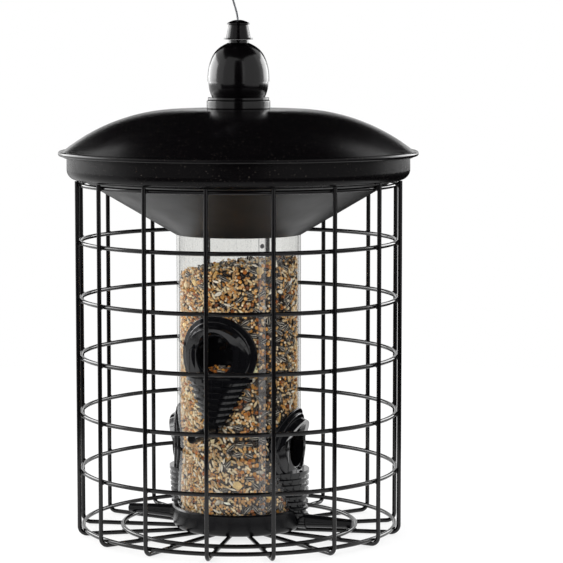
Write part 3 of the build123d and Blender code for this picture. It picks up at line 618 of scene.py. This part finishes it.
class FEEDER_OT_stage(bpy.types.Operator):
    """Adds the camera, the floor, the background, the lamps, and the cards that glossy pieces mirror"""

    bl_idname = "feeder.stage"
    bl_label = "Stage"

    def execute(self, context):
        view = context.scene.feeder_view
        colours = context.scene.feeder_colours
        self.camera(context, view)
        self.floor(colours)
        self.background(context, colours)
        self.lamps()
        self.cards()
        context.scene.view_settings.view_transform = "Standard"
        return {"FINISHED"}

    def camera(self, context, view):
        data = bpy.data.cameras.new("camera")
        data.sensor_width = SENSOR_MM
        data.lens = view.lens
        data.clip_end = 20
        camera = new_object("camera", data)
        ahead, aside = sideways(view.azimuth), outward(view.azimuth)
        camera.location = -ahead * view.distance + Vector((0, 0, view.height))
        level = ahead * math.cos(view.yaw) + aside * math.sin(view.yaw)
        look = level * math.cos(view.pitch) - Vector((0, 0, 1)) * math.sin(view.pitch)
        camera.rotation_euler = look.to_track_quat("-Z", "Y").to_euler()
        context.scene.camera = camera

    def seen_white(self, tree, colour):
        """Whether a ray comes from the camera, a mirror or the clear sheet, and the white it then sees"""
        path = add_node(tree, "ShaderNodeLightPath").outputs
        seen = path["Is Camera Ray"]
        for ray in ("Is Glossy Ray", "Is Transmission Ray"):
            seen = add_node(tree, "ShaderNodeMath", {0: seen, 1: path[ray]}, operation="MAXIMUM")
        white = add_node(tree, "ShaderNodeEmission", {"Color": rgba(colour)})
        return seen, white

    def floor(self, colours):
        """Painted studio floor, rolled matt white: it keeps the shadow, and reads as white further out

        The roller's nap is drawn 6 mm wide, coarser than a real one.
        """
        material, tree, place = new_material("Emulsion paint, rolled matt white")
        nap = relief(tree, place, 6.0, 0.1, 0.1)
        paint = add_node(tree, "ShaderNodeBsdfDiffuse", {"Color": rgba(colours.backdrop), "Normal": nap})
        seen, white = self.seen_white(tree, colours.backdrop)
        away = add_node(tree, "ShaderNodeVectorMath", {0: place}, operation="LENGTH").outputs["Value"]
        span = {"Value": away, "From Min": 0.15, "From Max": 0.9, "To Min": 0.75}
        fade = add_node(tree, "ShaderNodeMapRange", span)
        share = add_node(tree, "ShaderNodeMath", {0: seen, 1: fade}, operation="MULTIPLY")
        mix = add_node(tree, "ShaderNodeMixShader", {0: share, 1: paint, 2: white})
        add_node(tree, "ShaderNodeOutputMaterial", {"Surface": mix})
        mesh_object("studio_floor", level_square(12.0, 0), QUAD, material)

    def background(self, context, colours):
        world = bpy.data.worlds.new("studio")
        context.scene.world = world
        world.use_nodes = True
        tree = world.node_tree
        tree.nodes.clear()
        seen, white = self.seen_white(tree, colours.backdrop)
        room = add_node(tree, "ShaderNodeEmission", {"Color": rgba(linear("#fbfbfc")), "Strength": 0.9})
        mix = add_node(tree, "ShaderNodeMixShader", {0: seen, 1: room, 2: white})
        add_node(tree, "ShaderNodeOutputWorld", {"Surface": mix})

    def lamps(self):
        """Soft boxes round the feeder; the mirrored two draw bright edges on its black pieces"""
        distance, height, length = 1.5, 0.65, 0.76
        for name, azimuth, width, power, mirrored in (
            ("softbox_left", 172, 1.7, 22, True),
            ("softbox_right", 60, 1.1, 14, True),
            ("fill_front", -92, 1.2, 12, False),
            ("fill_right", -20, 1.2, 4, False),
            ("fill_rear", 120, 1.2, 6, False),
        ):
            data = bpy.data.lights.new(name, "AREA")
            data.shape = "RECTANGLE"
            data.size = width
            data.size_y = length
            data.energy = power
            lamp = new_object(name, data)
            lamp.visible_glossy = mirrored
            angle = math.radians(azimuth)
            lamp.location = (distance * math.cos(angle), distance * math.sin(angle), height)
            lamp.rotation_euler = (math.pi / 2, 0, angle + math.pi / 2)

    def cards(self):
        """Cards that the glossy pieces mirror and the camera doesn't see: pale panels and black flags"""
        for name, azimuth, distance, low, high, width, glow in (
            ("panel_left", -106, 1.6, 0.12, 2.4, 1.2, 0.6),
            ("panel_right", -12, 1.6, 0.0, 2.4, 2.0, 0.65),
            ("flag_front", -68, 2.3, 0.0, 2.4, 1.3, 0.0),
            ("flag_rear", 112, 1.3, 0.52, 3.0, 1.7, 0.0),
        ):
            angle = math.radians(azimuth)
            out, aside = outward(angle) * distance, sideways(angle) * width / 2
            up = Vector((0, 0, 1))
            near_edge, far_edge = out - aside, out + aside
            corners = [near_edge + up * low, far_edge + up * low, far_edge + up * high, near_edge + up * high]
            self.card(name, corners, QUAD, glow)
        self.card("flag_top", level_square(3.4, 2.2), QUAD)
        near, far, height = 0.38, 5.0, 4 * MM
        left_end, right_end, step = -140, 130, 10
        turns = [math.radians(a) for a in range(left_end, right_end + 1, step)]
        ring = [(r * math.cos(t), r * math.sin(t), height) for t in turns for r in (near, far)]
        quads = [(i, i + 1, i + 3, i + 2) for i in range(0, len(ring) - 2, 2)]
        self.card("flag_floor", ring, quads)

    def card(self, name, points, faces, glow=0.0):
        """One card: lit diffusion cloth if it glows, else black napped cloth, which leaves mirrors dark"""
        finish_name = "Diffusion cloth, woven and lit" if glow else "Black duvetyne, woven and napped"
        material, tree, _ = new_material(finish_name)
        if glow:
            surface = add_node(tree, "ShaderNodeEmission", {"Strength": glow})
        else:
            surface = add_node(tree, "ShaderNodeBsdfDiffuse", {"Color": rgba(linear("#0a0a0a"))})
        add_node(tree, "ShaderNodeOutputMaterial", {"Surface": surface})
        card = mesh_object(name, points, faces, material)
        card.visible_camera = False
        card.visible_diffuse = False
        card.visible_shadow = False


class FEEDER_OT_cage(bpy.types.Operator):
    """Coats the cage wire and adds the weld where each wire crosses another"""

    bl_idname = "feeder.cage"
    bl_label = "Cage"

    def execute(self, context):
        colour = context.scene.feeder_colours.wire
        coat = powder_coat(
            "Powder-coated wire, welded and sprayed", colour, 0.15, peel_mm=1.0, speck=0.0, shine=0.42
        )
        nodes = [f"upright_{i:02d}" for i in range(1, UPRIGHTS + 1)]
        nodes += [f"hoop_{i}" for i in range(1, HOOPS + 1)]
        for node in [*nodes, "floor_hoop", "hub_plate"]:
            finish(node, coat)
        self.welds(coat)
        finish("base_screw", plated_metal("Zinc-plated steel, barrel plated", ZINC, 0.32))
        return {"FINISHED"}

    def welds(self, coat):
        """Each weld is a flattened bead in the corner where the two wires touch."""
        thick, wide = 2.2, 3.9
        spots = []
        hoop_r = cage_r - wire_r
        floor_hoop_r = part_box("floor_hoop")[1].x - wire_r
        for i in range(UPRIGHTS):
            azimuth = math.radians(360 / UPRIGHTS * (i + 0.5))
            out = outward(azimuth)
            for hoop in range(1, HOOPS):
                height = middle_of(f"hoop_{hoop}").z
                spots.append((out * hoop_r + Vector((0, 0, height)), out, Vector((0, 0, 1))))
            spots.append((out * floor_hoop_r + Vector((0, 0, 2 * wire_r)), Vector((0, 0, 1)), out))
        ball, ball_faces = tapered(5, 10, 0.5)
        points, faces = [], []
        for place, out, up in spots:
            side = up.cross(out)
            axes = np.array([out * thick * MM, side * wide * MM, up * wide * MM])
            faces += [tuple(i + len(points) * len(ball) for i in f) for f in ball_faces]
            points.append(ball @ axes + np.array(place))
        mesh_piece("weld_beads", np.concatenate(points), faces, coat, "root")


class FEEDER_OT_roof(bpy.types.Operator):
    """Coats the roof, its skirt, the hopper pan and the funnel"""

    bl_idname = "feeder.roof"
    bl_label = "Roof and hopper"

    def execute(self, context):
        colour = context.scene.feeder_colours.roof
        peel_mm = 1.8
        for nodes, name, roughness, speck, shine in (
            (["roof_dome"], "Powder-coated steel, spun and sprayed", 0.22, 0.3, 0.21),
            (["roof_skirt", "hopper_pan"], "Powder-coated steel band, rolled and sprayed", 0.26, 0.35, 0.11),
            (["funnel"], "Powder-coated steel funnel, spun", 0.34, 0.0, 0.3),
        ):
            coat = powder_coat(name, colour, roughness, peel_mm, speck, shine)
            for node in nodes:
                finish(node, coat)
        finish("bridge_bar", plated_metal("Zinc-plated steel strip, rolled", ZINC, 0.35))
        return {"FINISHED"}


class FEEDER_OT_tube(bpy.types.Operator):
    """Makes the feed tube clear, with its seam rivets, and gives the base cup its plastic"""

    bl_idname = "feeder.tube"
    bl_label = "Tube and cup"

    def execute(self, context):
        colours = context.scene.feeder_colours
        sheet = clear_sheet("Polycarbonate sheet, rolled and riveted", colours.sheet, 0.0)
        self.seam(finish("feed_tube", sheet))
        finish("seam_rivets", plated_metal("Aluminium rivet, headed", linear("#8d8e90"), 0.4))
        finish("base_cup", moulded("ABS cup, moulded", colours.moulding, 0.22, shine=0.25))
        return {"FINISHED"}

    def seam(self, tube):
        """Where the sheet laps itself it is hazier, and its two sheared edges are dark lines down the tube"""
        lap = clear_sheet("Polycarbonate sheet, lapped double", linear("#f4f5f6"), 0.14)
        tube.data.materials.append(lap)
        lap_r = max(math.hypot(v.co.x, v.co.y) for v in tube.data.vertices)
        slack, width, sunk, proud = 0.2 * MM, 0.3 * MM, 0.4 * MM, 0.05 * MM
        turns = []
        for face in tube.data.polygons:
            if min(math.hypot(*tube.data.vertices[i].co.xy) for i in face.vertices) > lap_r - slack:
                face.material_index = 1
                turns += [math.atan2(*reversed(tube.data.vertices[i].co.xy)) for i in face.vertices]
        sheared = moulded("Polycarbonate sheet, sheared edge", linear("#5c5d5f"), 0.5)
        points, faces = [], []
        low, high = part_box("base_cup")[1].z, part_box("feed_tube")[1].z
        for turn in (min(turns), max(turns)):
            first = len(points)
            for side in (-1, 1):
                angle = turn + side * width / 2 / lap_r
                for radius in (lap_r - sunk, lap_r + proud):
                    out = outward(angle) * radius
                    points += [out + Vector((0, 0, low)), out + Vector((0, 0, high))]
            corners = ((0, 1, 3, 2), (2, 3, 7, 6), (6, 7, 5, 4), (4, 5, 1, 0), (1, 5, 7, 3), (0, 2, 6, 4))
            faces += [tuple(first + i for i in f) for f in corners]
        mesh_piece("seam_edges", points, faces, sheared, "root", smooth=False)


class FEEDER_OT_ports(bpy.types.Operator):
    """Gives the four feeding ports, perches and baffles their plastic"""

    bl_idname = "feeder.ports"
    bl_label = "Feeding ports"

    def execute(self, context):
        colour = context.scene.feeder_colours.moulding
        port = moulded("ABS port, moulded", colour, 0.09, shine=0.45)
        perch = moulded("ABS perch, moulded", colour, 0.2, shine=0.3)
        for place in port_azimuths:
            finish(f"{place}_port", port)
            finish(f"{place}_perch", perch)
            finish(f"{place}_baffle", port)
        return {"FINISHED"}


class FEEDER_OT_seed(bpy.types.Operator):
    """Fills the tube with mixed seed, packed against its wall and heaped at the top"""

    bl_idname = "feeder.seed"
    bl_label = "Seed"

    def execute(self, context):
        self.mix = context.scene.feeder_seed
        self.rng = np.random.default_rng(self.mix.draw)
        self.heap = SeedHeap(self.rng)
        self.core()
        self.against_wall()
        self.on_top()
        self.in_ports()
        self.heap.pieces()
        return {"FINISHED"}

    def surface_height(self, x, y):
        """The seed's top: a bowed slope down to the left, with broad hollows and ripples a seed wide"""
        bow, hollow, ripple = 0.8, 1.6 * MM, 1.1 * MM
        rise = max(0.0, (x / seed_r + 1) / 2) ** bow
        swell = hollow * math.sin(x / (9 * MM) + 1.0) * math.cos(y / (11 * MM))
        swell += ripple * math.sin(x / (2.1 * MM)) * math.cos(y / (2.6 * MM))
        return seed_low_edge + (seed_high.z - seed_low_edge) * rise + swell

    def behind_port(self, azimuth, height, radius, margin):
        """True where the wall is covered by a port's flange or by its chute."""
        for place, hole in hole_heights.items():
            turn = math.radians(azimuth - port_azimuths[place])
            if math.cos(turn) <= 0:
                continue
            across = radius * math.sin(turn)
            if math.hypot(across, height - hole) < FLANGE_R * MM - margin:
                return True
            above = height - (hole - HOLE_ABOVE_PERCH)
            half_wide = CHUTE_HALF_WIDE * MM + CHUTE_SPREAD * above / CHUTE_HIGH
            if 0 < above < CHUTE_HIGH * MM and abs(across) < half_wide - margin:
                return True
        return False

    def core(self):
        """The dense seed behind the first layers, open behind each port where its baffle is"""
        radius = seed_r - self.mix.core_depth
        around, up = 180, 120
        sunk = 2.5 * MM
        points = []
        for row in range(up + 1):
            for column in range(around):
                turn = 2 * math.pi * column / around
                x, y = radius * math.cos(turn), radius * math.sin(turn)
                top = self.surface_height(x, y) - sunk
                height = seed_low.z + (top - seed_low.z) * row / up
                # Faintly uneven all over, so that no smooth wall shows between the seeds
                out = radius * (1 + 0.012 * math.sin(37 * turn + 90 * height / MM / 7))
                for place, hole in hole_heights.items():
                    lean = turn - math.radians(port_azimuths[place])
                    beside = abs(out * math.sin(lean)) < BAFFLE_ASIDE * MM
                    if math.cos(lean) > 0 and beside and -BAFFLE_DOWN * MM < height - hole < BAFFLE_UP * MM:
                        out = min(out, BAFFLE_FACE * MM / math.cos(lean))
                points.append((out * math.cos(turn), out * math.sin(turn), height))
        faces = ring_faces(up + 1, around, 0)
        points.append((0, 0, self.surface_height(0, 0) - sunk))
        start = up * around
        faces += [(start + i, start + (i + 1) % around, len(points) - 1) for i in range(around)]
        points.append((0, 0, seed_low.z))
        faces += [((i + 1) % around, i, len(points) - 1) for i in range(around)]
        # Painted shade: the seed behind the first layers, as brown grains about as wide as millet and near
        # black between them
        material, tree, place = new_material("Seed mix in shade, settled")
        cells = add_node(tree, "ShaderNodeTexVoronoi", {"Vector": place, "Scale": per(2.4)})
        ramp = add_node(tree, "ShaderNodeValToRGB", {"Fac": cells})
        ramp.color_ramp.elements[0].color = rgba(linear("#4a3320"))
        ramp.color_ramp.elements[1].color = rgba(linear("#0e0906"))
        ramp.color_ramp.elements[1].position = 0.7
        close(material, {"Base Color": ramp, "Roughness": 0.7})
        core = mesh_piece("seed_core", points, faces, material, "root", smooth=False)
        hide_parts("seed_fill")

    def against_wall(self):
        """Two layers of seeds, the outer one touching the sheet, each kept where the mix has its kind

        The inner layer has half as many draws. Long grains lie on a slope, and the others nearly level.
        """
        rng = self.rng
        around = 2 * math.pi * seed_r
        high = seed_high.z - seed_low.z
        slack, port_margin, overlap, tilt, sag_share = 0.3, 2.5 * MM, 0.12, 0.06, 0.6
        level, sloping = (0, 0.7), (-0.9, 0.6)
        for share, depth in ((1, 0.0), (2, 1.5 * MM)):
            chart = PackingMap(around, high, self.mix.cell, wraps=True)
            for kind, (count, _) in DRAWS.items():
                long, wide, thick = (s * MM for s in SEEDS[kind][0])
                for _ in range(count // share):
                    azimuth = rng.uniform(-180, 180)
                    height = rng.uniform(seed_low.z + wide / 2, seed_high.z)
                    keep = rng.uniform()
                    turn = rng.normal(*(sloping if kind == "grain" else level))
                    radius = seed_r - depth - thick / 2 - rng.uniform(0, slack) * MM
                    out = np.array((math.cos(math.radians(azimuth)), math.sin(math.radians(azimuth)), 0))
                    below_top = self.surface_height(out[0] * radius, out[1] * radius) - height
                    if below_top < wide / 2 or keep > min(1, mix_at(azimuth, height, below_top)[kind]):
                        continue
                    if self.behind_port(azimuth, height, radius, port_margin):
                        continue
                    along = (azimuth + 180) / 360 * around
                    if not chart.place(along, height - seed_low.z, long / 2, wide / 2, turn, overlap):
                        continue
                    # A long seed lying across touches the round wall with its ends, so its middle moves in
                    radius -= sag_share * (long / 2 * math.cos(turn)) ** 2 / (2 * radius)
                    axes = seed_axes(rng, out, turn, tilt)
                    self.heap.add(kind, out * radius + np.array((0, 0, height)), axes)

    def on_top(self):
        """Seeds lying loosely on the slope, tilted every way"""
        rng = self.rng
        inner = seed_r - 2.5 * MM
        overlap, tilt, piled = 0.25, 0.6, 2.0
        chart = PackingMap(2 * seed_r, 2 * seed_r, self.mix.cell, wraps=False)
        for kind, (_, count) in DRAWS.items():
            long, wide, thick = (s * MM for s in SEEDS[kind][0])
            for _ in range(count):
                x, y = rng.uniform(-inner, inner, 2)
                turn = rng.uniform(0, math.pi)
                if math.hypot(x, y) > inner - long / 3:
                    continue
                if not chart.place(x + seed_r, y + seed_r, long / 2, wide / 2, turn, overlap):
                    continue
                out = np.array((-(seed_high.z - seed_low_edge) / (2 * seed_r), 0, 1.0))
                out /= np.linalg.norm(out)
                height = self.surface_height(x, y) - thick / 3 + rng.uniform(0, piled) * MM
                axes = seed_axes(rng, out, turn, tilt)
                self.heap.add(kind, np.array((x, y, height)), axes)

    def in_ports(self):
        """The little heap that has run out from under each baffle, as far as the hole's lower edge"""
        rng = self.rng
        seeds_a_port, tilt = 120, 0.3
        # In mm: how far out the heap reaches from the tube's axis, where the hole's rim begins, the hole's
        # radius, half the heap's width, its top under the hole's middle, and how loosely it lies
        inner, outer, rim, hole_r, half_wide, top, loose = 21, 40, 33, 12.8, 12, -11.2, (-1.5, 0.8)
        fall = 0.1
        for place, hole in hole_heights.items():
            turn = math.radians(port_azimuths[place])
            out = np.array((math.cos(turn), math.sin(turn), 0))
            side = np.array((-out[1], out[0], 0))
            for _ in range(seeds_a_port):
                across = rng.uniform(-half_wide, half_wide) * MM
                deep = rng.uniform(inner, outer) * MM
                drop = top * MM - (deep - inner * MM) * fall + rng.uniform(*loose) * MM
                if math.hypot(across, drop) > hole_r * MM and deep > rim * MM:
                    continue
                # Painted shade: only the mix's darker kinds are drawn here, so that the heap in the hole
                # reads dim
                kind = ("milo", "nyjer", "sunflower")[rng.choice(3, p=(0.25, 0.5, 0.25))]
                axes = seed_axes(rng, (0, 0, 1), rng.uniform(0, math.pi), tilt)
                self.heap.add(kind, out * deep + side * across + np.array((0, 0, hole + drop)), axes)


class FEEDER_OT_finial(bpy.types.Operator):
    """Polishes the finial, collar and cable cap, and plates the lock rod"""

    bl_idname = "feeder.finial"
    bl_label = "Finial and lock"

    def execute(self, context):
        colour = context.scene.feeder_colours.finial
        gloss = moulded("ABS finial, moulded and polished", colour, 0.17, grain_mm=3.0, shine=0.5)
        for node in ("finial_base", "finial_bulb", "finial_washer"):
            finish(node, gloss)
        finish("collar", moulded("ABS collar, moulded", colour, 0.16, grain_mm=2.0, shine=0.5))
        finish("cable_cap", moulded("ABS cap, moulded", colour, 0.2, grain_mm=2.0, shine=0.3))
        steel = plated_metal("Zinc-plated steel rod, drawn", linear("#b4b5b8"), 0.28)
        for node in ("lock_rod", "lock_pin", "rod_clip"):
            finish(node, steel)
        return {"FINISHED"}


# The cable's route, in its own upright plane: out from the feeder's axis, and height, in mm
CABLE_PLANE = math.radians(202.2)
CABLE_POINTS = [
    (0.0, 355.8), (0.0, 363.6), (3.0, 374.4), (6.6, 385.0), (11.0, 402.4),
    (5.5, 415.2), (5.7, 426.5), (11.8, 434.2), (20.6, 436.1), (28.1, 431.1),
    (30.2, 421.3), (24.6, 411.4), (16.4, 403.2), (11.6, 396.6), (8.73, 385.3),
]


class FEEDER_OT_cable(bpy.types.Operator):
    """Lays the stranded hanging cable along its route, with its crimped sleeve"""

    bl_idname = "feeder.cable"
    bl_label = "Hanging cable"

    def execute(self, context):
        settings = context.scene.feeder_cable
        path = self.line()
        strand = plated_metal("Galvanised steel strand, stranded and coated", linear("#9b9da1"), 0.3, 0.3)
        points, faces = [], []
        core_r = settings.diameter / 6
        for i in range(settings.strands):
            phase = 2 * math.pi * i / settings.strands
            self.tube(path, core_r, settings.diameter / 2 - core_r, settings.lay, phase, points, faces)
        filling_r = core_r * 1.1
        self.tube(path, filling_r, 0, settings.lay, 0, points, faces)
        cable = mesh_piece("cable_strands", points, faces, strand, "finial")
        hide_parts("hanging_cable")
        sleeve = finish("cable_sleeve", plated_metal("Aluminium sleeve, crimped", linear("#c3c4c6"), 0.35))
        return {"FINISHED"}

    def line(self):
        """Points along the route's smooth line"""
        curve = bpy.data.curves.new("cable_line", "CURVE")
        curve.dimensions = "3D"
        curve.resolution_u = 16
        spline = curve.splines.new("NURBS")
        spline.points.add(len(CABLE_POINTS) - 1)
        for point, (out, up) in zip(spline.points, CABLE_POINTS):
            point.co = (out * MM * math.cos(CABLE_PLANE), out * MM * math.sin(CABLE_PLANE), up * MM, 1)
        spline.order_u = 3
        spline.use_endpoint_u = True
        holder = new_object("cable_line", curve)
        bpy.context.view_layer.update()
        mesh = bpy.data.meshes.new_from_object(holder.evaluated_get(bpy.context.evaluated_depsgraph_get()))
        path = [v.co.copy() for v in mesh.vertices]
        bpy.data.objects.remove(holder)
        bpy.data.meshes.remove(mesh)
        return path

    def tube(self, path, radius, offset, lay, phase, points, faces, sides=7):
        """A round strand wound about the path at this offset"""
        side = sideways(CABLE_PLANE)
        travelled, first = 0.0, len(points)
        for i, place in enumerate(path):
            ahead = (path[min(i + 1, len(path) - 1)] - path[max(i - 1, 0)]).normalized()
            if i:
                travelled += (place - path[i - 1]).length
            across = ahead.cross(side).normalized()
            turn = phase + 2 * math.pi * travelled / lay
            out = side * math.cos(turn) + across * math.sin(turn)
            centre = place + out * offset
            for j in range(sides):
                angle = 2 * math.pi * j / sides
                points.append(centre + (side * math.cos(angle) + across * math.sin(angle)) * radius)
        faces += ring_faces(len(path), sides, first)
        faces.append(tuple(first + j for j in reversed(range(sides))))
        faces.append(tuple(first + (len(path) - 1) * sides + j for j in range(sides)))


class FEEDER_PT_panel(bpy.types.Panel):
    """The feeder's settings and its pieces"""

    bl_label = "Caged tube feeder"
    bl_idname = "FEEDER_PT_panel"
    bl_space_type = "VIEW_3D"
    bl_region_type = "UI"
    bl_category = "Feeder"

    def draw(self, context):
        for operator in OPERATORS:
            self.layout.operator(operator.bl_idname)
        for group in GROUPS:
            box = self.layout.box()
            settings = getattr(context.scene, group)
            for name in settings.__annotations__:
                box.prop(settings, name)


GROUPS = {
    "feeder_view": FeederView,
    "feeder_colours": FeederColours,
    "feeder_seed": FeederSeed,
    "feeder_cable": FeederCable,
}
OPERATORS = (
    FEEDER_OT_stage,
    FEEDER_OT_cage,
    FEEDER_OT_roof,
    FEEDER_OT_tube,
    FEEDER_OT_ports,
    FEEDER_OT_seed,
    FEEDER_OT_finial,
    FEEDER_OT_cable,
)


def register():
    for cls in (*GROUPS.values(), *OPERATORS, FEEDER_PT_panel):
        bpy.utils.register_class(cls)
    for name, group in GROUPS.items():
        setattr(bpy.types.Scene, name, bpy.props.PointerProperty(type=group))


def unregister():
    for name in GROUPS:
        delattr(bpy.types.Scene, name)
    for cls in (FEEDER_PT_panel, *reversed(OPERATORS), *reversed(list(GROUPS.values()))):
        bpy.utils.unregister_class(cls)


def main():
    register()
    bpy.ops.feeder.stage()
    bpy.ops.feeder.cage()
    bpy.ops.feeder.roof()
    bpy.ops.feeder.tube()
    bpy.ops.feeder.ports()
    bpy.ops.feeder.seed()
    bpy.ops.feeder.finial()
    bpy.ops.feeder.cable()


if __name__ == "__main__":
    main()
